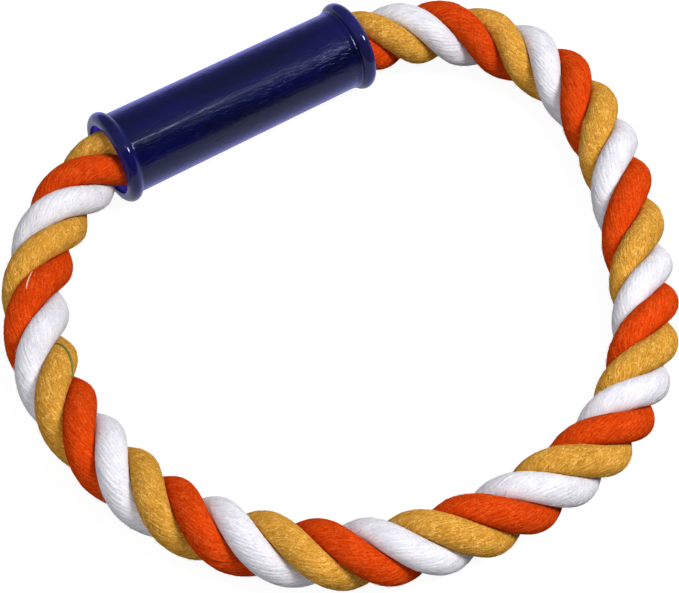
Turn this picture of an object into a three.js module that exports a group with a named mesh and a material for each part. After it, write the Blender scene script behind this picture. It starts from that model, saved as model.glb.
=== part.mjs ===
// Rope tug ring: a three-strand laid cotton rope bent into a ring, with both cut ends joined inside
// a moulded plastic sleeve that is the hand grip. Millimetres, +Z up, standing on z = 0.

import * as THREE from 'three';

// ---- driving dimensions -------------------------------------------------------------------------

// Grip sleeve: a drafted tube, its axis along X, wider at its left (-X) end.
const SLEEVE_LENGTH = 101;
const SLEEVE_MEAN_RADIUS = 14.6;
const SLEEVE_DRAFT = 0.0046; // radius lost per millimetre towards +X
const BORE_RADIUS = 12.8;
const BORE_CHAMFER = 0.4;
const RIM_RADIUS_LEFT = 16.8;
const RIM_RADIUS_RIGHT = 16.4;
const RIM_WIDTH = 5.3;
const RIM_ARC_POINTS = 8;
const SLEEVE_SEGMENTS = 48;

// Rope: three strands laid right-handed round one centreline.
const LAY_RADIUS = 6.7; // rope axis to strand axis
const STRAND_RADIUS = 4.6;
const STRAND_SIDES = 8;
const STEPS_PER_TURN = 12;

// Joint inside the sleeve.
const JOINT_BORE_RADIUS = 11.6; // ferrule and whippings clear the strands by 0.3
const FERRULE_RADIUS = 12.2;
const FERRULE_LENGTH = 36;
const WHIPPING_RADIUS = 12.3;
const WHIPPING_LENGTH = 9;
const WHIPPING_GAP = 3; // between the ferrule's end and the whipping
const JOINT_SEGMENTS = 32;

// The sleeve's middle, placed so that the origin is under the centre of the whole ring.
const SLEEVE_CENTRE = new THREE.Vector3(3.5, 92, RIM_RADIUS_LEFT);

// Rope route in plan from the sleeve's middle, with the height above the floor: x, y, z, lay turns.
// It starts at the left cut end, leaves by the left mouth, goes round the ring and comes back in by
// the right mouth. The lay turns say how far the rope has twisted at that point.
const ROUTE = [
  [-0.5, 0, 16.8, -1.02],
  [-25.5, 0, 16.8, -0.52],
  [-51, -0.5, 16.8, 0.01],
  [-75, -10, 15.2, 0.53],
  [-94, -27.5, 11.6, 1.05],
  [-106.5, -50.5, 11.4, 1.5],
  [-112.5, -76.5, 11.4, 1.99],
  [-111.5, -103.5, 11.4, 2.5],
  [-105.2, -129.3, 11.4, 3.02],
  [-92.2, -151.8, 11.4, 3.56],
  [-73.7, -170.4, 11.4, 4.08],
  [-51.2, -182.8, 11.4, 4.63],
  [-26.2, -188.8, 11.4, 5.16],
  [0.5, -189, 11.4, 5.71],
  [27, -184, 11.4, 6.26],
  [50, -170.5, 11.4, 6.84],
  [68, -151.5, 11.4, 7.36],
  [81.5, -128.5, 11.4, 7.92],
  [93.5, -103.5, 11.4, 8.39],
  [103, -77, 11.4, 8.92],
  [105.5, -50.5, 11.4, 9.41],
  [97.5, -26.5, 11.6, 9.91],
  [79, -10, 15.2, 10.41],
  [51, -0.5, 16.8, 11.05],
  [25.5, 0, 16.8, 11.56],
  [0.5, 0, 16.8, 12.06],
];

// ---- the rope's centreline and lay --------------------------------------------------------------

const UP = new THREE.Vector3(0, 0, 1);
const TENSION = 0.5;
const ARC_LENGTH_DIVISIONS = 4000;

const centrePoints = ROUTE.map(([x, y, z]) => new THREE.Vector3(
  SLEEVE_CENTRE.x + x, SLEEVE_CENTRE.y + y, z));
const centreline = new THREE.CatmullRomCurve3(centrePoints, false, 'catmullrom', TENSION);

// The lay turns run through the same spline, held in the x of a curve of their own.
const turnPoints = ROUTE.map(([, , , turns]) => new THREE.Vector3(turns, 0, 0));
const layTurns = new THREE.CatmullRomCurve3(turnPoints, false, 'catmullrom', TENSION);

class StrandCurve extends THREE.Curve {
  // lead: how far this strand lies behind the first one, in turns
  constructor(lead) {
    super();
    this.lead = lead;
    this.arcLengthDivisions = ARC_LENGTH_DIVISIONS;
  }

  getPoint(t, target = new THREE.Vector3()) {
    const tangent = centreline.getTangent(t);
    const side = new THREE.Vector3().crossVectors(UP, tangent).normalize();
    const lift = new THREE.Vector3().crossVectors(tangent, side);
    const angle = 2 * Math.PI * (layTurns.getPoint(t).x - this.lead);
    centreline.getPoint(t, target);
    target.addScaledVector(side, LAY_RADIUS * Math.cos(angle));
    target.addScaledVector(lift, LAY_RADIUS * Math.sin(angle));
    return target;
  }
}

// ---- materials ----------------------------------------------------------------------------------

function cotton(colour) {
  return new THREE.MeshStandardMaterial({ color: colour, roughness: 0.95, metalness: 0 });
}

const COBALT_PLASTIC = new THREE.MeshStandardMaterial({ color: 0x1b2052, roughness: 0.22, metalness: 0 });
const ALUMINIUM = new THREE.MeshStandardMaterial({ color: 0xb8babd, roughness: 0.4, metalness: 1 });
const TWINE = new THREE.MeshStandardMaterial({ color: 0xe6dcc6, roughness: 0.9, metalness: 0 });

// ---- pieces -------------------------------------------------------------------------------------

function strand(name, colour, lead) {
  const section = new THREE.Shape();
  for (let i = 0; i < STRAND_SIDES; i++) {
    const angle = 2 * Math.PI * i / STRAND_SIDES;
    const x = STRAND_RADIUS * Math.cos(angle);
    const y = STRAND_RADIUS * Math.sin(angle);
    if (i === 0) section.moveTo(x, y);
    else section.lineTo(x, y);
  }
  const turns = ROUTE.at(-1)[3] - ROUTE[0][3];
  const geometry = new THREE.ExtrudeGeometry(section, {
    steps: Math.round(turns * STEPS_PER_TURN),
    bevelEnabled: false,
    extrudePath: new StrandCurve(lead),
  });
  const mesh = new THREE.Mesh(geometry, cotton(colour));
  mesh.name = name;
  return mesh;
}

// A turned piece: profile points are [radius, x], and the lathe's axis is laid along X at the sleeve.
function turned(name, profile, segments, material) {
  const points = profile.map(([radius, x]) => new THREE.Vector2(radius, x));
  points.push(points[0].clone());
  const mesh = new THREE.Mesh(new THREE.LatheGeometry(points, segments), material);
  mesh.name = name;
  mesh.rotation.z = -Math.PI / 2;
  return mesh;
}

// The half-round bead at one mouth, as profile points from its flat end face to the tube's wall.
function rimProfile(side, rimRadius) {
  const beadRadius = RIM_WIDTH / 2;
  const beadX = side * (SLEEVE_LENGTH / 2 - beadRadius);
  const beadCentre = rimRadius - beadRadius;
  const wallRadius = SLEEVE_MEAN_RADIUS - SLEEVE_DRAFT * beadX;
  const lastAngle = Math.PI - Math.asin((wallRadius - beadCentre) / beadRadius);
  const points = [];
  for (let i = 0; i <= RIM_ARC_POINTS; i++) {
    const angle = lastAngle * i / RIM_ARC_POINTS;
    points.push([beadCentre + beadRadius * Math.sin(angle), beadX + side * beadRadius * Math.cos(angle)]);
  }
  return points;
}

function handleSleeve() {
  const end = SLEEVE_LENGTH / 2;
  const profile = [
    [BORE_RADIUS, end - BORE_CHAMFER],
    [BORE_RADIUS, BORE_CHAMFER - end],
    [BORE_RADIUS + BORE_CHAMFER, -end],
    ...rimProfile(-1, RIM_RADIUS_LEFT),
    ...rimProfile(1, RIM_RADIUS_RIGHT).reverse(),
    [BORE_RADIUS + BORE_CHAMFER, end],
  ];
  return turned('handle_sleeve', profile, SLEEVE_SEGMENTS, COBALT_PLASTIC);
}

// A plain band round the rope, centred at x from the sleeve's middle.
function band(name, x, length, outerRadius, material) {
  const profile = [
    [JOINT_BORE_RADIUS, x + length / 2],
    [JOINT_BORE_RADIUS, x - length / 2],
    [outerRadius, x - length / 2],
    [outerRadius, x + length / 2],
  ];
  return turned(name, profile, JOINT_SEGMENTS, material);
}

// ---- assembly -----------------------------------------------------------------------------------

const group = new THREE.Group();

group.add(strand('strand_orange', 0xdb4a15, 0));
group.add(strand('strand_white', 0xf0eff2, 1 / 3));
group.add(strand('strand_gold', 0xd09a3e, 2 / 3));

const whippingX = FERRULE_LENGTH / 2 + WHIPPING_GAP + WHIPPING_LENGTH / 2;
const grip = new THREE.Group();
grip.position.copy(SLEEVE_CENTRE);
grip.add(handleSleeve());
grip.add(band('joint_ferrule', 0, FERRULE_LENGTH, FERRULE_RADIUS, ALUMINIUM));
grip.add(band('whipping_left', -whippingX, WHIPPING_LENGTH, WHIPPING_RADIUS, TWINE));
grip.add(band('whipping_right', whippingX, WHIPPING_LENGTH, WHIPPING_RADIUS, TWINE));
group.add(grip);

export default group;
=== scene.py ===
"""Rope tug ring: a laid cotton rope whose cut ends meet inside a moulded plastic grip sleeve.

The rope's three strands with their loose fibres and stray threads, the sleeve and the joint inside it are
built here as fine meshes round the CAD frame. Metres, +Z up.
"""

import bpy
import numpy as np
from mathutils import Matrix, Vector


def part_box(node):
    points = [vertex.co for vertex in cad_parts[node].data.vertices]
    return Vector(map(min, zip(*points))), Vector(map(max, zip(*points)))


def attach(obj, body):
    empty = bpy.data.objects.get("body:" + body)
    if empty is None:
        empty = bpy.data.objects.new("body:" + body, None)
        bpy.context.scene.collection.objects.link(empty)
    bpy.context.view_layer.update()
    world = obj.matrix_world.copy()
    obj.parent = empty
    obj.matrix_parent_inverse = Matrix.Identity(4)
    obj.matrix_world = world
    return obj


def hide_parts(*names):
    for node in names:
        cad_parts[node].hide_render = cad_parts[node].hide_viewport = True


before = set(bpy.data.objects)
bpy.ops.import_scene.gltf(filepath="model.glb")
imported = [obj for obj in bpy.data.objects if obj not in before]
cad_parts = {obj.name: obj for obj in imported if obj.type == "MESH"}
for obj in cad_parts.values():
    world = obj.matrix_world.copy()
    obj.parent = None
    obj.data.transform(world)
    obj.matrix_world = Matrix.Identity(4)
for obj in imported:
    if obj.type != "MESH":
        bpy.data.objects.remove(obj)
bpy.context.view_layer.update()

MM = 0.001
TURN = 2 * np.pi

# ---- driving dimensions -------------------------------------------------------------------------

# The rope's route from the sleeve's middle, as in the CAD: x, y, height above the floor, lay turns.
ROUTE = [
    (-0.0005, 0, 0.0168, -1.02),
    (-0.0255, 0, 0.0168, -0.52),
    (-0.051, -0.0005, 0.0168, 0.01),
    (-0.075, -0.01, 0.0152, 0.53),
    (-0.094, -0.0275, 0.0116, 1.05),
    (-0.1065, -0.0505, 0.0114, 1.5),
    (-0.1125, -0.0765, 0.0114, 1.99),
    (-0.1115, -0.1035, 0.0114, 2.5),
    (-0.1052, -0.1293, 0.0114, 3.02),
    (-0.0922, -0.1518, 0.0114, 3.56),
    (-0.0737, -0.1704, 0.0114, 4.08),
    (-0.0512, -0.1828, 0.0114, 4.63),
    (-0.0262, -0.1888, 0.0114, 5.16),
    (0.0005, -0.189, 0.0114, 5.71),
    (0.027, -0.184, 0.0114, 6.26),
    (0.05, -0.1705, 0.0114, 6.84),
    (0.068, -0.1515, 0.0114, 7.36),
    (0.0815, -0.1285, 0.0114, 7.92),
    (0.0935, -0.1035, 0.0114, 8.39),
    (0.103, -0.077, 0.0114, 8.92),
    (0.1055, -0.0505, 0.0114, 9.41),
    (0.0975, -0.0265, 0.0116, 9.91),
    (0.079, -0.01, 0.0152, 10.41),
    (0.051, -0.0005, 0.0168, 11.05),
    (0.0255, 0, 0.0168, 11.56),
    (0.0005, 0, 0.0168, 12.06),
]
POINTS_PER_SPAN = 60
ROW_SPACING = 1.5 * MM

# A strand's section square to the rope: an ellipse pressed flat against its two neighbours.
STRAND_CENTRE = 5.6 * MM  # rope axis to the middle of the ellipse
STRAND_RADIAL = 5.8 * MM
STRAND_TANGENTIAL = 6.6 * MM
STRAND_LAY = 6.4 * MM  # rope axis to the strand's own centreline
PRESS_GAP = 0.05 * MM  # from the section to the plane between two strands
PRESS_SHARPNESS = 14  # how square the corner of the flattened sides is
NEIGHBOUR_ANGLE = np.pi / 3  # from the strand's outward way to the plane it shares with a neighbour
OUTLINE_POINTS = 720
BARE_FROM, BARE_OVER = 0.70, 0.25  # share of the strand's outermost radius where it comes out of the press

# The yarns that a strand is spun from, seen as shallow ribs.
YARNS = 28
COLUMNS_PER_YARN = 6
YARN_DEPTH = 0.13 * MM
YARN_TURNS = -1.75  # turns of a yarn round its strand for each turn of the lay
YARN_WIDTHS = (0.65, 1.35)  # thinnest and thickest, against the mean
YARN_RIPPLE = 0.031  # wavelength along the rope
WANDER_WAVES, WANDER = (0.071, 0.113, 0.19), 0.03  # wavelengths, and turns round the strand
SLACK_WAVES, SLACK = (0.023, 0.037, 0.061), 0.012  # wavelengths, and share of the thickness

# Loose fibres on the strands.
FIBRES = 2200
FIBRE_STEPS = 7
FIBRE_LENGTH = 2.2 * MM  # along the rope, as a standard deviation
FIBRE_DRIFT, FIBRE_BEND = 9.0, 5.0  # across the strand's columns, as standard deviations
FIBRE_FREE = 0.45  # share of them with one end standing off the strand
FIBRE_REACH = (0.2, 1.1)  # how far that end stands off, in mm
FIBRE_ARCH = 0.22  # how far the middle of the others stands off, in mm
FIBRE_SEAT = 0.02  # clearance of them all, in mm
FIBRE_RADII = (0.018 * MM, 0.04 * MM)
FIBRE_MARGIN = 0.052  # from each cut end, about where the rope leaves the sleeve
FIBRE_EXPOSURE = 0.86  # least share of the outermost radius where one is rooted
STRAY_POINTS = 26

# The grip sleeve, turned about the X axis through its middle.
SLEEVE_MEAN_RADIUS = 14.6 * MM
SLEEVE_DRAFT = 0.0046  # radius lost for each unit of length towards +X
BORE_RADIUS = 12.8 * MM
BORE_CHAMFER = 0.4 * MM
RIM_RADIUS = {-1: 16.8 * MM, 1: 16.4 * MM}
RIM_WIDTH = 5.3 * MM
RIDGE_WIDTH = 1.5 * MM
RIDGE_HEIGHT = 0.5 * MM
WALL_RADII = (13.8 * MM, 15.2 * MM)  # the sink marks stay between these: off the bore and bead crowns
FACE_RADIUS = 14.3 * MM  # just past the outer edge of each mouth's flat face
BEAD_FROM = 15.0 * MM
SINK_WAVES, SINK_DEPTH = 14, 0.012 * MM
# Painted glow: inside each mouth the plastic is made bluer and emits a little light, as if lit through it.
GLOW_DEPTH = 9 * MM  # how far into the bore each mouth looks bluer and glows
SLEEVE_SEGMENTS = 224
BORE_ROWS, WALL_ROWS, RIM_POINTS, MOUTH_POINTS = 60, 150, 22, 7

# The joint inside the sleeve.
FERRULE_RADIUS = 12.2 * MM
FERRULE_BORE = 11.65 * MM
FERRULE_EDGE = 0.8 * MM
CRIMP_DEPTH, CRIMP_WIDTH = 0.22 * MM, 1.1 * MM
CRIMP_PLACES = (-0.55, 0, 0.55)  # shares of the ferrule's half length
FERRULE_SEGMENTS = 144
TWINE_RADIUS = 0.34 * MM
TWINE_PITCH = 2.06  # twine radii from one turn to the next
WHIPPING_BORE = 11.6 * MM
STEPS_PER_WHIPPING_TURN = 40

LOW, HIGH = (Vector(corner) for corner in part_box("handle_sleeve"))
SLEEVE_MIDDLE = np.array((LOW + HIGH) / 2)
SLEEVE_HALF = (HIGH.x - LOW.x) / 2

# ---- node helpers -------------------------------------------------------------------------------

BLACK = (0.0, 0.0, 0.0)
GREY = (0.5, 0.5, 0.5)
WHITE = (1.0, 1.0, 1.0)


class Shader:
    """A material's node tree, with short calls for the nodes that are used here."""

    def __init__(self, name):
        self.material = bpy.data.materials.new(name)
        self.material.use_nodes = True
        self.tree = self.material.node_tree
        self.surface = self.tree.nodes["Principled BSDF"]

    def node(self, kind, **settings):
        node = self.tree.nodes.new(kind)
        for key, value in settings.items():
            setattr(node, key, value)
        return node

    def link(self, source, target):
        self.tree.links.new(source, target)

    def attribute(self, name, output="Fac"):
        return self.node("ShaderNodeAttribute", attribute_name=name).outputs[output]

    def place(self):
        return self.node("ShaderNodeTexCoord").outputs["Object"]

    def stretched(self, vector, scale):
        mapping = self.node("ShaderNodeMapping")
        mapping.inputs["Scale"].default_value = scale
        self.link(vector, mapping.inputs["Vector"])
        return mapping.outputs["Vector"]

    def noise(self, vector, scale, detail=3.0, roughness=0.55):
        noise = self.node("ShaderNodeTexNoise")
        noise.inputs["Scale"].default_value = scale
        noise.inputs["Detail"].default_value = detail
        noise.inputs["Roughness"].default_value = roughness
        self.link(vector, noise.inputs["Vector"])
        return noise.outputs["Fac"]

    def ramp(self, factor, *stops):
        ramp = self.node("ShaderNodeValToRGB")
        elements = ramp.color_ramp.elements
        while len(elements) < len(stops):
            elements.new(0.5)
        for element, (place, colour) in zip(elements, stops):
            element.position = place
            element.color = (*colour, 1)
        self.link(factor, ramp.inputs["Fac"])
        return ramp.outputs["Color"]

    def span(self, factor, low, high, to_low=0.0, to_high=1.0):
        span = self.node("ShaderNodeMapRange", clamp=True)
        values = dict(zip(("From Min", "From Max", "To Min", "To Max"), (low, high, to_low, to_high)))
        for key, value in values.items():
            span.inputs[key].default_value = value
        self.link(factor, span.inputs["Value"])
        return span.outputs["Result"]

    def mix(self, factor, first, second, blend="MIX"):
        mix = self.node("ShaderNodeMix", data_type="RGBA", blend_type=blend)
        for socket, value in ((mix.inputs[0], factor), (mix.inputs[6], first), (mix.inputs[7], second)):
            if isinstance(value, bpy.types.NodeSocket):
                self.link(value, socket)
            else:
                socket.default_value = value if isinstance(value, float) else (*value, 1)
        return mix.outputs[2]

    def luma(self, colour):
        grey = self.node("ShaderNodeRGBToBW")
        self.link(colour, grey.inputs["Color"])
        return grey.outputs["Val"]

    def bump(self, height, strength, distance, normal=None):
        bump = self.node("ShaderNodeBump")
        bump.inputs["Strength"].default_value = strength
        bump.inputs["Distance"].default_value = distance
        self.link(height, bump.inputs["Height"])
        if normal is not None:
            self.link(normal, bump.inputs["Normal"])
        return bump.outputs["Normal"]

    def finish(self, colour, roughness, normal, **constants):
        """Links the surface; each constant goes to the socket of its own name."""
        self.link(colour, self.surface.inputs["Base Color"])
        if isinstance(roughness, float):
            self.surface.inputs["Roughness"].default_value = roughness
        else:
            self.link(roughness, self.surface.inputs["Roughness"])
        if normal is not None:
            self.link(normal, self.surface.inputs["Normal"])
        for key, value in constants.items():
            socket = key.replace("_", " ").title().replace("Ior", "IOR")
            self.surface.inputs[socket].default_value = value
        return self.material


# ---- materials ----------------------------------------------------------------------------------

# Colours of each strand, how far painted shade darkens the grooves between its yarns, and how much its
# hairs show.
DYES = {
    "orange": {
        "deep": (0.46, 0.024, 0.001),
        "main": (0.67, 0.056, 0.003),
        "pale": (0.81, 0.087, 0.008),
        "hair": (0.92, 0.17, 0.03),
        "speck": (0.36, 0.018, 0.002),
        "groove_shade": 0.6,
        "hairiness": 0.5,
    },
    "white": {
        "deep": (0.62, 0.63, 0.72),
        "main": (0.81, 0.79, 0.835),
        "pale": (0.89, 0.88, 0.90),
        "hair": (0.96, 0.94, 0.95),
        "speck": (0.44, 0.47, 0.62),
        "groove_shade": 0.5,
        "hairiness": 0.7,
    },
    "gold": {
        "deep": (0.42, 0.185, 0.014),
        "main": (0.63, 0.285, 0.031),
        "pale": (0.78, 0.40, 0.06),
        "hair": (0.93, 0.57, 0.15),
        "speck": (0.27, 0.13, 0.010),
        "groove_shade": 0.25,
        "hairiness": 1.0,
    },
}
COTTON_ROUGHNESS = 0.95
PATCH_SHADE = (0.80, 0.80, 0.80)
CLUMP_HEIGHT, FIBRE_HEIGHT, HAIR_HEIGHT = 0.7 * MM, 0.25 * MM, 0.10 * MM

PLASTIC_BLACK = (0.0016, 0.0024, 0.014)
PLASTIC_BLUE = (0.0020, 0.0026, 0.052)
# Painted light: the bright blue where light would shine through the plastic at the rims, end faces and
# mouths.
PLASTIC_PAINTED_GLOW = (0.20, 0.16, 0.95)
# Painted glow: the blue light that the mouths emit.
PLASTIC_EMITTED_GLOW = (0.07, 0.045, 0.60)
BEAD_ROUGHNESS = (0.09, 0.09, 0.09)
FLOW_HEIGHT, SCRATCH_HEIGHT = 0.09 * MM, 0.05 * MM


def cotton(name, dye):
    """Combed cotton yarn: streaks along the yarns with painted shade in the grooves between them, crossed
    by fine curled hairs and a few specks.

    The lay attribute is in millimetres, round the strand and along the rope, so a noise's scale is its
    features for each millimetre. The noises are drawn out along the yarns.
    """
    shader = Shader(name)
    lay = shader.attribute("lay", "Vector")
    deep = dye["deep"]

    def drawn(share):
        return shader.stretched(lay, (1.0, 1.0, share))

    fibre = shader.noise(drawn(0.16), 2.1, 5.0, 0.7)
    clumps = shader.noise(drawn(0.3), 0.6, 4.0)
    patches = shader.noise(drawn(0.5), 0.12, 2.0)
    curl = shader.noise(drawn(0.55), 1.0, 4.0, 0.6)
    odd = shader.noise(drawn(0.35), 1.7, 2.0)
    where = shader.noise(lay, 0.45, 2.0)

    colour = shader.ramp(fibre, (0.34, deep), (0.50, dye["main"]), (0.68, dye["pale"]))
    colour = shader.mix(shader.span(clumps, 0.30, 0.60, 0.45, 0.0), colour, deep)
    shade = shader.ramp(patches, (0.32, PATCH_SHADE), (0.66, WHITE))
    colour = shader.mix(0.8, colour, shade, "MULTIPLY")
    # Painted shade: the grooves between the yarns are darkened towards the deep colour.
    painted_groove_shade = shader.span(shader.attribute("groove"), 0.1, 1.0, 0.0, dye["groove_shade"])
    colour = shader.mix(painted_groove_shade, colour, deep)
    hairs = shader.ramp(curl, (0.455, BLACK), (0.5, WHITE), (0.545, BLACK))
    hairiness = shader.span(where, 0.35, 0.65, 0.15 * dye["hairiness"], dye["hairiness"])
    shown = shader.mix(hairiness, BLACK, hairs)
    colour = shader.mix(shader.luma(shown), colour, dye["hair"])
    colour = shader.mix(shader.span(odd, 0.63, 0.70, 0.0, 0.8), colour, dye["speck"])

    coarse = shader.bump(clumps, 0.55, CLUMP_HEIGHT)
    fine = shader.bump(fibre, 0.9, FIBRE_HEIGHT, coarse)
    raised = shader.bump(shader.luma(hairs), 0.35, HAIR_HEIGHT, fine)
    return shader.finish(colour, COTTON_ROUGHNESS, raised, specular_ior_level=0.0)


def loose_fibre(name, colour):
    shader = Shader(name)
    darker = tuple(0.8 * channel for channel in colour)
    tone = shader.ramp(shader.noise(shader.place(), 700.0, 2.0), (0.3, darker), (0.7, colour))
    return shader.finish(tone, COTTON_ROUGHNESS, None, specular_ior_level=0.05)


def cobalt_plastic():
    """Tinted moulded plastic: near-black in the thick wall; bluer at the rims and in the mouths, where
    painted light stands in for light shining through the plastic, and the mouths also glow with emitted
    light.

    The bead attribute rises to 1 on the beads' crowns, which are clear of flow marks and scratches.
    """
    shader = Shader("cobalt_plastic")
    place = shader.place()
    bead = shader.attribute("bead")
    cloud = shader.noise(shader.stretched(place, (0.22, 1.0, 1.0)), 70.0, 3.0)
    scuffs = shader.noise(shader.stretched(place, (0.14, 1.0, 1.0)), 1700.0, 3.0, 0.6)
    flow = shader.noise(shader.stretched(place, (0.18, 1.0, 1.0)), 420.0, 3.0)

    body = shader.ramp(cloud, (0.40, PLASTIC_BLACK), (0.62, PLASTIC_BLUE))
    # Painted light: bluer where light would shine through the plastic at the rims, end faces and mouths.
    colour = shader.mix(shader.attribute("painted_glow"), body, PLASTIC_PAINTED_GLOW)
    worn = shader.span(scuffs, 0.35, 0.75, 0.13, 0.22)
    roughness = shader.luma(shader.mix(bead, worn, BEAD_ROUGHNESS))
    scratched = shader.mix(bead, shader.ramp(scuffs, (0.50, BLACK), (0.68, WHITE)), BLACK)
    normal = shader.bump(shader.mix(bead, flow, GREY), 0.5, FLOW_HEIGHT)
    normal = shader.bump(scratched, 0.6, SCRATCH_HEIGHT, normal)
    # Painted glow: the mouths emit a little blue light, standing in for light shining through the plastic.
    through = shader.mix(shader.attribute("mouth"), BLACK, PLASTIC_EMITTED_GLOW)
    shader.link(through, shader.surface.inputs["Emission Color"])
    return shader.finish(
        colour,
        roughness,
        normal,
        specular_ior_level=0.28,
        specular_tint=(0.72, 0.80, 1.0, 1),
        sheen_weight=0.85,
        sheen_roughness=0.42,
        sheen_tint=(0.02, 0.03, 0.9, 1),
        emission_strength=0.30,
    )


def crimped_aluminium():
    shader = Shader("crimped_aluminium")
    brushed = shader.noise(shader.stretched(shader.place(), (1.0, 0.06, 0.06)), 4000.0, 3.0)
    colour = shader.ramp(brushed, (0.3, (0.42, 0.43, 0.44)), (0.7, (0.62, 0.63, 0.64)))
    roughness = shader.span(brushed, 0.3, 0.7, 0.28, 0.42)
    normal = shader.bump(brushed, 0.25, 0.02 * MM)
    return shader.finish(colour, roughness, normal, metallic=1.0)


def waxed_twine():
    shader = Shader("waxed_twine")
    ply = shader.noise(shader.place(), 3500.0, 3.0)
    colour = shader.ramp(ply, (0.3, (0.52, 0.46, 0.34)), (0.7, (0.80, 0.74, 0.61)))
    return shader.finish(colour, 0.8, shader.bump(ply, 0.5, 0.08 * MM), sheen_weight=0.2)


def studio_floor():
    shader = Shader("studio_floor")
    paper = shader.noise(shader.place(), 40.0, 4.0)
    colour = shader.ramp(paper, (0.3, (0.12, 0.12, 0.12)), (0.7, (0.14, 0.14, 0.14)))
    return shader.finish(colour, 0.9, None, emission_color=(*WHITE, 1), emission_strength=0.93)


# ---- mesh helpers -------------------------------------------------------------------------------


def unit(vectors):
    return vectors / np.linalg.norm(vectors, axis=-1, keepdims=True)


def fade(values, start, over):
    """0 up to start, rising evenly to 1 over the given stretch."""
    return np.clip((values - start) / over, 0, 1)


def piece(name, points, faces, material, smooth=True):
    mesh = bpy.data.meshes.new(name)
    mesh.from_pydata([tuple(p) for p in points], [], faces)
    mesh.polygons.foreach_set("use_smooth", [smooth] * len(mesh.polygons))
    mesh.materials.append(material)
    mesh.update()
    made = bpy.data.objects.new(name, mesh)
    bpy.context.scene.collection.objects.link(made)
    return made


def store(made, name, values):
    """Keeps one number or vector for each of the mesh's points, for its material to read."""
    values = np.asarray(values, np.float32)
    if values.ndim == 1:
        made.data.attributes.new(name, "FLOAT", "POINT").data.foreach_set("value", values)
    else:
        made.data.attributes.new(name, "FLOAT_VECTOR", "POINT").data.foreach_set("vector", values.ravel())


def grid_faces(rows, columns, closed_rows=False):
    """Quads between neighbouring rings of points, each ring closed on itself."""
    faces = []
    for row in range(rows if closed_rows else rows - 1):
        here = row * columns
        there = (row + 1) % rows * columns
        for column in range(columns):
            after = (column + 1) % columns
            faces.append((here + column, here + after, there + after, there + column))
    return faces


def capped(rows, columns):
    """Ring quads with a fan at each end; the two fan centres come after the rings' points."""
    first, last = rows * columns, rows * columns + 1
    start = (rows - 1) * columns
    faces = grid_faces(rows, columns)
    for column in range(columns):
        after = (column + 1) % columns
        faces.append((first, after, column))
        faces.append((last, start + column, start + after))
    return faces


def tubes(lines, radii, sides):
    """Round tapered tubes along lines of equal point count: (line, point, xyz) and (line, point)."""
    lines = np.asarray(lines)
    ahead = np.gradient(lines, axis=1)
    ahead /= np.linalg.norm(ahead, axis=2, keepdims=True) + 1e-12
    off_axis = (0.31, 0.17, 0.94)  # an odd way, so that hardly any line runs along it
    across = np.cross(ahead, off_axis)
    across /= np.linalg.norm(across, axis=2, keepdims=True) + 1e-12
    other = np.cross(ahead, across)
    angle = TURN * np.arange(sides) / sides
    ring = across[:, :, None] * np.cos(angle)[:, None] + other[:, :, None] * np.sin(angle)[:, None]
    points = lines[:, :, None] + ring * np.asarray(radii)[:, :, None, None]
    count, steps = lines.shape[:2]
    one = capped(steps, sides)
    size = steps * sides + 2
    faces = [tuple(i + line * size for i in face) for line in range(count) for face in one]
    ends = lines[:, (0, -1)]
    return np.concatenate([points.reshape(count, -1, 3), ends], axis=1).reshape(-1, 3), faces


# ---- the rope -----------------------------------------------------------------------------------


def catmull_rom(points):
    """A uniform Catmull-Rom curve through the points, with its ends reflected."""
    points = np.array(points, float)
    padded = np.vstack([2 * points[0] - points[1], points, 2 * points[-1] - points[-2]])
    t = np.arange(POINTS_PER_SPAN)[:, None] / POINTS_PER_SPAN
    spans = []
    for before, start, end, after in zip(padded, padded[1:], padded[2:], padded[3:]):
        leave, arrive = (end - before) / 2, (after - start) / 2
        spans.append(
            (2 * t**3 - 3 * t**2 + 1) * start
            + (t**3 - 2 * t**2 + t) * leave
            + (3 * t**2 - 2 * t**3) * end
            + (t**3 - t**2) * arrive
        )
    return np.vstack([*spans, points[-1:]])


class Rope:
    """Evenly spaced rows along the rope's axis, with the frame and the lay at each."""

    def __init__(self):
        fine = catmull_rom(ROUTE)
        fine[:, :2] += SLEEVE_MIDDLE[:2]
        step = np.linalg.norm(np.diff(fine[:, :3], axis=0), axis=1)
        along = np.concatenate([[0], np.cumsum(step)])
        self.rows = int(round(along[-1] / ROW_SPACING)) + 1
        self.along = np.linspace(0, along[-1], self.rows)
        self.centre = self.at(fine[:, :3], along)
        self.turns = np.interp(self.along, along, fine[:, 3])
        ahead = unit(self.at(unit(np.gradient(fine[:, :3], along, axis=0)), along))
        self.side = unit(np.cross((0, 0, 1), ahead))
        self.lift = np.cross(ahead, self.side)

    def at(self, values, along):
        return np.stack([np.interp(self.along, along, column) for column in values.T], axis=1)

    def place(self, lead, radial, tangential):
        """Points at section places (row, column) of the strand that lies lead turns behind."""
        angle = TURN * (self.turns - lead)[:, None, None]
        side, lift = self.side[:, None], self.lift[:, None]
        outward = side * np.cos(angle) + lift * np.sin(angle)
        onward = lift * np.cos(angle) - side * np.sin(angle)
        return self.centre[:, None] + outward * radial[..., None] + onward * tangential[..., None]


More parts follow.
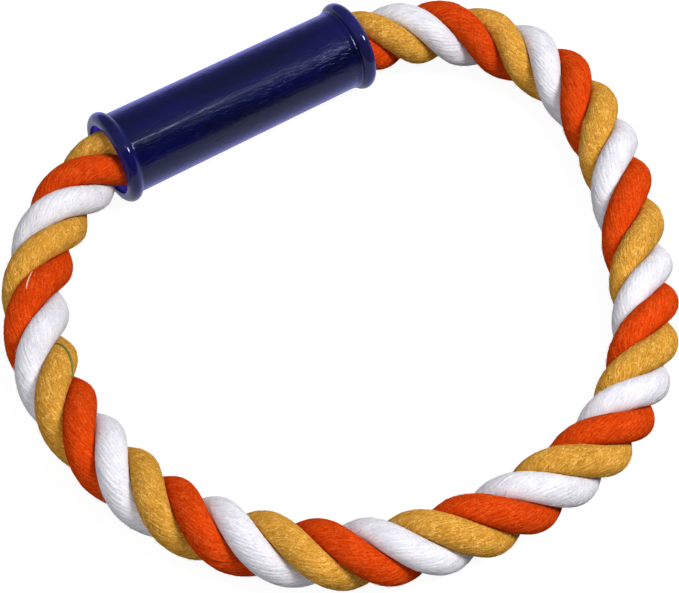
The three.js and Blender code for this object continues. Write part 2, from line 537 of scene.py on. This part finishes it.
def pressed_section():
    """The strand's section at equal steps of its outline: places, outward normals and outline length."""
    angle = np.linspace(0, TURN, 20 * OUTLINE_POINTS, endpoint=False)
    x, y = np.cos(angle), np.sin(angle)
    near = [np.hypot(x / STRAND_RADIAL, y / STRAND_TANGENTIAL)]
    room = STRAND_CENTRE * np.sin(NEIGHBOUR_ANGLE) - PRESS_GAP
    for sign in (-1, 1):
        towards = -x * np.sin(NEIGHBOUR_ANGLE) + sign * y * np.cos(NEIGHBOUR_ANGLE)
        near.append(np.maximum(towards, 0) / room)
    reach = sum(n**PRESS_SHARPNESS for n in near) ** (-1 / PRESS_SHARPNESS)
    line = np.stack([STRAND_CENTRE + reach * x, reach * y], axis=1)
    closed = np.vstack([line, line[:1]])
    along = np.concatenate([[0], np.cumsum(np.linalg.norm(np.diff(closed, axis=0), axis=1))])
    at = np.linspace(0, along[-1], OUTLINE_POINTS, endpoint=False)
    even = np.stack([np.interp(at, along, closed[:, k]) for k in (0, 1)], axis=1)
    ahead = np.roll(even, -1, axis=0) - np.roll(even, 1, axis=0)
    normal = unit(np.stack([ahead[:, 1], -ahead[:, 0]], axis=1))
    return even, normal, along[-1]


def waves(rng, along, lengths, size):
    """A smooth random line: one sine for each wavelength, of about the given size in all."""
    phases = rng.uniform(0, TURN, len(lengths))
    parts = [np.sin(TURN * along / length + p) for length, p in zip(lengths, phases)]
    return size * sum(parts) / len(lengths)


class Strand:
    """One strand's surface as a grid of points whose columns follow its yarns."""

    def __init__(self, rope, lead, seed):
        rng = np.random.default_rng(seed)
        outline, normal, perimeter = pressed_section()
        self.along = rope.along
        columns = YARNS * COLUMNS_PER_YARN
        yarn = np.arange(columns) // COLUMNS_PER_YARN

        # Where each column runs on the outline, as a share of it.
        widths = np.repeat(rng.uniform(*YARN_WIDTHS, YARNS), COLUMNS_PER_YARN)
        self.first_share = np.concatenate([[0], np.cumsum(widths)[:-1]]) / widths.sum()
        self.twist = YARN_TURNS * rope.turns + waves(rng, rope.along, WANDER_WAVES, WANDER)
        share = (self.first_share[None] + self.twist[:, None]) % 1
        table = np.linspace(0, 1, len(outline), endpoint=False)
        x, y, normal_x, normal_y = (
            np.interp(share, table, values, period=1)
            for values in (outline[:, 0], outline[:, 1], normal[:, 0], normal[:, 1])
        )

        # Where nothing presses on it the strand is a little thinner, by an amount that varies.
        self.exposed = np.hypot(x, y) / (STRAND_CENTRE + STRAND_RADIAL)
        bare = fade(self.exposed, BARE_FROM, BARE_OVER)
        slack = 1 - bare * (SLACK - waves(rng, rope.along, SLACK_WAVES, SLACK)[:, None])
        x = STRAND_CENTRE + (x - STRAND_CENTRE) * slack
        y = y * slack

        # Each yarn is a shallow round rib, some prouder than others, and rippled along its length.
        phase = (np.arange(columns) % COLUMNS_PER_YARN) / COLUMNS_PER_YARN
        self.groove = 1 - np.sqrt(np.maximum(0, 1 - (2 * phase - 1) ** 2))
        proud = rng.uniform(-0.5, 0.5, YARNS)[yarn]
        ripple = np.sin(TURN * rope.along[:, None] / YARN_RIPPLE + rng.uniform(0, 6.3, YARNS)[yarn])
        relief = YARN_DEPTH * (self.groove[None] + 0.5 * proud[None] + 0.4 * ripple + 0.6)
        relief *= 0.25 + 0.75 * bare
        self.grid = rope.place(lead, x - relief * normal_x, y - relief * normal_y)
        middle = np.full((rope.rows, 1), STRAND_LAY)
        self.path = rope.place(lead, middle, 0 * middle)[:, 0]

        # Unlaid millimetres for the material: round the strand, and along the rope.
        radius = perimeter / TURN / MM
        turn = TURN * self.first_share
        self.lay = np.empty((rope.rows, columns, 3))
        self.lay[..., 0] = radius * np.cos(turn)
        self.lay[..., 1] = radius * np.sin(turn) + 40 * lead  # far apart, so no two strands look alike
        self.lay[..., 2] = rope.along[:, None] / MM

        down_rows = np.gradient(self.grid, axis=0)
        round_it = np.roll(self.grid, -1, axis=1) - np.roll(self.grid, 1, axis=1)
        self.normal = unit(np.cross(round_it, down_rows))
        self.outward_as_laid = ((self.grid - self.path[:, None]) * self.normal).sum() > 0
        self.normal *= 1 if self.outward_as_laid else -1

    def mesh(self, name, material):
        rows, columns = self.grid.shape[:2]
        points = np.vstack([self.grid.reshape(-1, 3), self.grid[(0, -1), :].mean(axis=1)])
        faces = capped(rows, columns)
        if not self.outward_as_laid:
            faces = [face[::-1] for face in faces]
        made = piece(name, points, faces, material)
        middle = self.lay[(0, -1), :].mean(axis=1)
        store(made, "lay", np.vstack([self.lay.reshape(-1, 3), middle]))
        store(made, "groove", np.append(np.tile(self.groove, rows), (0, 0)))
        return made

    def sample(self, row, column, values):
        """The grid's values at fractional rows and columns."""
        low, left = np.floor(row).astype(int), np.floor(column).astype(int)
        down, right = (row - low)[..., None], (column - left)[..., None]
        columns = values.shape[1]
        left, after = left % columns, (left + 1) % columns
        top = values[low, left] * (1 - right) + values[low, after] * right
        bottom = values[low + 1, left] * (1 - right) + values[low + 1, after] * right
        return top * (1 - down) + bottom * down

    def stray(self, name, material, start, end, thick):
        """A stray thread lying on the strand between two places: metres along and share of the outline."""
        t = np.linspace(0, 1, STRAY_POINTS)
        row = np.interp(start[0] + (end[0] - start[0]) * t, self.along, np.arange(len(self.along)))
        share = start[1] + (end[1] - start[1]) * t
        unlaid = (share - np.interp(row, np.arange(len(self.twist)), self.twist)) % 1
        column = np.interp(unlaid, np.append(self.first_share, 1), np.arange(len(self.first_share) + 1))
        line = self.sample(row, column, self.grid) + 0.3 * thick * self.sample(row, column, self.normal)
        radii = thick * np.sqrt(1 - 0.9 * np.abs(2 * t - 1) ** 3)
        points, faces = tubes(line[None], radii[None], 6)
        return piece(name, points, faces, material)

    def fibres(self, name, material, seed):
        """Fine hairs that lie on the strand or stand a little off it, where it isn't covered."""
        rng = np.random.default_rng(seed)
        rows, columns = self.grid.shape[:2]
        margin = int(FIBRE_MARGIN / ROW_SPACING)
        row = rng.uniform(margin, rows - margin, 4 * FIBRES)
        column = rng.uniform(0, columns, 4 * FIBRES)
        seen = self.exposed[row.astype(int), column.astype(int)] > FIBRE_EXPOSURE
        row, column = row[seen][:FIBRES], column[seen][:FIBRES]
        count = len(row)
        t = np.linspace(0, 1, FIBRE_STEPS)[None]
        length = rng.normal(0, FIBRE_LENGTH / MM, (count, 1)) * MM / ROW_SPACING
        drift = rng.normal(0, FIBRE_DRIFT, (count, 1))
        bend = rng.normal(0, FIBRE_BEND, (count, 1))
        rows_at = np.clip(row[:, None] + length * (t - 0.5), 0, rows - 2)
        columns_at = column[:, None] + drift * t + bend * np.sin(np.pi * t)
        free = rng.random((count, 1)) < FIBRE_FREE
        standing = t**1.6 * rng.uniform(*FIBRE_REACH, (count, 1))
        rise = np.where(free, standing, np.sin(np.pi * t) * FIBRE_ARCH)
        lines = self.sample(rows_at, columns_at, self.grid)
        lines = lines + self.sample(rows_at, columns_at, self.normal) * (FIBRE_SEAT + rise)[..., None] * MM
        thick = rng.uniform(*(radius / MM for radius in FIBRE_RADII), (count, 1)) * MM
        radii = thick * (1 - 0.8 * np.abs(2 * t - 1) ** 2)
        points, faces = tubes(lines, radii, 3)
        return piece(name, points, faces, material)


# ---- the sleeve and the joint inside it ---------------------------------------------------------


def turned(name, profile, segments, material, shape):
    """A closed profile of (radius, x) turned about the sleeve's axis; shape moves its points in or out."""
    profile = np.array(profile, float)
    angle = TURN * np.arange(segments) / segments
    radius = np.repeat(profile[:, :1], segments, axis=1)
    x = np.repeat(profile[:, 1:], segments, axis=1)
    radius = radius + shape(x, angle[None], radius)
    points = np.stack([x, radius * np.cos(angle), radius * np.sin(angle)], axis=-1) + SLEEVE_MIDDLE
    faces = [face[::-1] for face in grid_faces(len(profile), segments, closed_rows=True)]
    return piece(name, points.reshape(-1, 3), faces, material), radius, x


def wall_radius(x):
    return SLEEVE_MEAN_RADIUS - SLEEVE_DRAFT * x


def rim(side):
    """The half-round bead at one mouth, from its end face round to the wall."""
    bead = RIM_WIDTH / 2
    middle_x = side * (SLEEVE_HALF - bead)
    middle = RIM_RADIUS[side] - bead
    last = np.pi - np.arcsin((wall_radius(middle_x) - middle) / bead)
    angles = np.linspace(0, last, RIM_POINTS)
    return [(middle + bead * np.sin(a), middle_x + side * bead * np.cos(a)) for a in angles]


def grip_sleeve(material):
    """The sleeve: bore, mouths, beads, the drafted wall and the fine ridge inboard of the right bead."""
    inner = SLEEVE_HALF - BORE_CHAMFER
    bore = [(BORE_RADIUS, x) for x in np.linspace(inner, -inner, BORE_ROWS)]
    mouth = [
        (BORE_RADIUS + BORE_CHAMFER * (1 - np.cos(a)), -inner - BORE_CHAMFER * np.sin(a))
        for a in np.linspace(0, np.pi / 2, MOUTH_POINTS)[1:]
    ]
    right_mouth = [(radius, -x) for radius, x in mouth[::-1]]
    left, right = rim(-1), rim(1)[::-1]
    wall_x = np.linspace(left[-1][1], right[0][1], WALL_ROWS)[1:-1]
    ridge_x = SLEEVE_HALF - RIM_WIDTH - 0.4 * RIDGE_WIDTH
    ridge = RIDGE_HEIGHT * np.exp(-(((wall_x - ridge_x) / (0.42 * RIDGE_WIDTH)) ** 4))
    wall = list(zip(wall_radius(wall_x) + ridge, wall_x))
    profile = [*bore, *mouth, *left, *wall, *right, *right_mouth]
    rng = np.random.default_rng(31)
    ways = [(rng.uniform(60, 260), rng.integers(1, 9), rng.uniform(0, 6.3)) for _ in range(SINK_WAVES)]

    def moulded(x, angle, radius):
        """Shallow sink and flow marks on the wall, fading out at the beads and in the bore."""
        sink = sum(np.sin(k * x + n * angle + p) / (0.6 + 0.012 * k * n) for k, n, p in ways)
        on_wall = fade(radius, WALL_RADII[0], 0.4 * MM) * (radius < WALL_RADII[1])
        return SINK_DEPTH * sink * on_wall

    made, radius, x = turned("grip_sleeve", profile, SLEEVE_SEGMENTS, material, moulded)
    from_end = SLEEVE_HALF - np.abs(x)
    bore_edge = BORE_RADIUS + 0.1 * MM
    in_bore = fade(from_end, BORE_CHAMFER, MM) * (radius < bore_edge)
    # Painted light: the mouths, end faces and beads are made bluer, and the mouths glow, standing in for
    # light shining through the plastic.
    mouth_glow = in_bore * np.clip(1 - from_end / GLOW_DEPTH, 0, 1)
    face_glow = 0.06 * (radius < FACE_RADIUS) * (radius > bore_edge)
    bead = fade(radius, BEAD_FROM, MM)
    bead_glow = bead * np.where(x > 0, 0.035, 0.015)
    store(made, "painted_glow", np.maximum(mouth_glow, face_glow + bead_glow).ravel())
    store(made, "bead", bead.ravel())
    store(made, "mouth", mouth_glow.ravel())
    return made


def crimped_ferrule(material):
    """The band round both cut ends, with rolled edges and three crimp grooves."""
    low, high = (Vector(corner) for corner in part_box("joint_ferrule"))
    half = (high.x - low.x) / 2
    x = np.linspace(-half, half, 90)
    grooves = sum(np.exp(-(((x - at * half) / CRIMP_WIDTH) ** 2)) for at in CRIMP_PLACES)
    rounded = 0.2 * MM * fade(np.abs(x), half - FERRULE_EDGE, FERRULE_EDGE) ** 2
    outside = list(zip(FERRULE_RADIUS - rounded - CRIMP_DEPTH * grooves, x))
    inside = [(FERRULE_BORE, at) for at in np.linspace(half, -half, 30)]

    def lapped(at_x, angle, radius):
        """The lap seam, and shallow flats where the crimping jaws pressed."""
        seam = 0.12 * MM * np.exp(-(((angle - np.pi) / 0.03) ** 2))
        flats = 0.05 * MM * np.cos(8 * angle)
        return np.where(radius > 11.8 * MM, -seam + flats - 0.05 * MM, 0)

    return turned("crimp_ferrule", inside + outside, FERRULE_SEGMENTS, material, lapped)[0]


def twine_whipping(name, node, material):
    """Tight turns of twine round the rope, its ends tucked in."""
    low, high = (Vector(corner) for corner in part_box(node))
    length = high.x - low.x - 2 * TWINE_RADIUS
    turns = int(length / (TWINE_PITCH * TWINE_RADIUS))
    t = np.linspace(0, 1, turns * STEPS_PER_WHIPPING_TURN)
    angle = TURN * turns * t
    tuck = 0.075 * MM * fade(np.abs(2 * t - 1) * turns, turns - 1, 1) ** 2
    radius = WHIPPING_BORE + TWINE_RADIUS - tuck
    x = low.x + TWINE_RADIUS + length * t
    y = SLEEVE_MIDDLE[1] + radius * np.cos(angle)
    z = SLEEVE_MIDDLE[2] + radius * np.sin(angle)
    line = np.stack([x, y, z], axis=1)
    points, faces = tubes(line[None], np.full((1, len(t)), TWINE_RADIUS), 8)
    return piece(name, points, faces, material)


# ---- camera and light ---------------------------------------------------------------------------

CAMERA_AZIMUTH = np.radians(-32.7)
CAMERA_ELEVATION = np.radians(52.8)
CAMERA_DISTANCE = 0.900
CAMERA_TARGET = np.array((-0.00994, 0.00203, 0.01225))
CAMERA_BACK = np.array(
    (
        np.sin(CAMERA_AZIMUTH) * np.cos(CAMERA_ELEVATION),
        -np.cos(CAMERA_AZIMUTH) * np.cos(CAMERA_ELEVATION),
        np.sin(CAMERA_ELEVATION),
    )
)
LENS = 142.8
SENSOR_WIDTH = 36

# Each light: its aim, the way it lies from there, its distance, size and watts.
STRIP_AIM = SLEEVE_MIDDLE + np.array((-0.030, 0, 0))
KEY = ((0, 0, 0), (0.37, -0.40, 0.83), 1.2, (0.45, 0.45), 13.5)
FILL = ((0, 0, 0), (-0.62, -0.62, 0.48), 1.2, (0.8, 0.8), 5.0)
GLINT = (SLEEVE_MIDDLE, (0.66, -0.50, 0.70), 0.95, (0.24, 0.14), 7.0)
STRIP = (STRIP_AIM, (0.29, -0.43, 0.85), 0.9, (0.07, 0.022), 0.26)

# The room's brightness along an axis that points back and up: dark, then pale, then dimmer at its end.
SKY_AXIS = (0.0, 0.842, 0.539)
SKY_STOPS = ((0.485, 0.03), (0.505, 0.53), (0.78, 0.51), (0.95, 0.30))
SKY_BLUE = 1.03  # blue against red and green
FLOOR_HALF = 3


def aimed(made, place, target):
    """Puts a camera or light at place, looking at target: a camera level, a light along the sleeve."""
    place, target = np.array(place), np.array(target)
    back = unit(place - target)
    if made.type == "CAMERA":
        across = unit(np.cross((0, 0, 1), back))
    else:
        across = unit(np.array((1.0, 0, 0)) - back[0] * back)
    turn = Matrix((across, np.cross(back, across), back)).transposed().to_4x4()
    made.matrix_world = Matrix.Translation(place) @ turn
    bpy.context.scene.collection.objects.link(made)
    return made


def camera():
    lens = bpy.data.cameras.new("camera")
    lens.sensor_width = SENSOR_WIDTH
    lens.lens = LENS
    lens.clip_end = 20
    made = bpy.data.objects.new("camera", lens)
    place = CAMERA_TARGET + CAMERA_DISTANCE * CAMERA_BACK
    bpy.context.scene.camera = aimed(made, place, CAMERA_TARGET)


def area_light(name, aim, way, distance, size, watts):
    light = bpy.data.lights.new(name, "AREA")
    light.shape = "RECTANGLE"
    light.size, light.size_y = size
    light.energy = watts
    place = np.array(aim) + distance * unit(np.array(way))
    return aimed(bpy.data.objects.new(name, light), place, aim)


def sky():
    world = bpy.data.worlds.new("studio")
    bpy.context.scene.world = world
    world.use_nodes = True
    tree = world.node_tree
    direction = tree.nodes.new("ShaderNodeTexCoord")
    split = tree.nodes.new("ShaderNodeVectorMath")
    split.operation = "DOT_PRODUCT"
    split.inputs[1].default_value = SKY_AXIS
    tree.links.new(direction.outputs["Generated"], split.inputs[0])
    place = tree.nodes.new("ShaderNodeMapRange")
    place.inputs["From Min"].default_value = -1.0
    tree.links.new(split.outputs["Value"], place.inputs["Value"])
    ramp = tree.nodes.new("ShaderNodeValToRGB")
    while len(ramp.color_ramp.elements) < len(SKY_STOPS):
        ramp.color_ramp.elements.new(0.5)
    for element, (at, level) in zip(ramp.color_ramp.elements, SKY_STOPS):
        element.position = at
        element.color = (level, level, SKY_BLUE * level, 1)
    tree.links.new(place.outputs["Result"], ramp.inputs["Fac"])
    tree.links.new(ramp.outputs["Color"], tree.nodes["Background"].inputs["Color"])


def studio():
    """Soft key and fill for the cotton; the glint and the strip make the plastic's highlights."""
    bpy.context.scene.view_settings.view_transform = "Standard"
    sky()
    area_light("key", *KEY).visible_glossy = False
    area_light("fill", *FILL).visible_glossy = False
    area_light("glint", *GLINT).visible_diffuse = False
    area_light("strip", *STRIP)
    signs = ((-1, -1), (1, -1), (1, 1), (-1, 1))
    corners = [(x * FLOOR_HALF, y * FLOOR_HALF, 0) for x, y in signs]
    floor = piece("floor", corners, [(0, 1, 2, 3)], studio_floor(), smooth=False)
    floor.visible_diffuse = False


# ---- assembly -----------------------------------------------------------------------------------

# Each strand's lead, in turns behind the first one.
LEADS = {"orange": 0, "white": 1 / 3, "gold": 2 / 3}
STRAND_SEED, FIBRE_SEED = 11, 21

# A green thread spun into the gold strand by mistake, and a wisp of white lint on the orange one.
STRAYS = {
    "gold": {
        "start": (0.136, 0.32),
        "end": (0.1535, -0.27),
        "thick": 0.48 * MM,
        "colour": (0.20, 0.20, 0.045),
    },
    "orange": {
        "start": (0.1075, 0.23),
        "end": (0.1165, -0.02),
        "thick": 0.26 * MM,
        "colour": (0.90, 0.50, 0.40),
    },
}

camera()

rope = Rope()
for index, (colour, lead) in enumerate(LEADS.items()):
    strand = Strand(rope, lead, STRAND_SEED + index)
    made = strand.mesh(f"cotton_strand_{colour}", cotton(f"cotton_{colour}", DYES[colour]))
    hair = loose_fibre(f"fibre_{colour}", DYES[colour]["hair"])
    extras = [strand.fibres(f"loose_fibres_{colour}", hair, FIBRE_SEED + index)]
    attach(made, "rope")
    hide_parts(f"strand_{colour}")
    if colour in STRAYS:
        stray = STRAYS[colour]
        dyed = loose_fibre(f"stray_{colour}", stray["colour"])
        thread = strand.stray(f"stray_thread_{colour}", dyed, stray["start"], stray["end"], stray["thick"])
        extras.append(thread)
    for extra in extras:
        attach(extra, "rope")

sleeve = grip_sleeve(cobalt_plastic())
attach(sleeve, "handle")
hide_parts("handle_sleeve")

ferrule = crimped_ferrule(crimped_aluminium())
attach(ferrule, "rope")
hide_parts("joint_ferrule")

twine = waxed_twine()
for side in ("left", "right"):
    whipping = twine_whipping(f"twine_whipping_{side}", f"whipping_{side}", twine)
    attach(whipping, "rope")
    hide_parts(f"whipping_{side}")

studio()
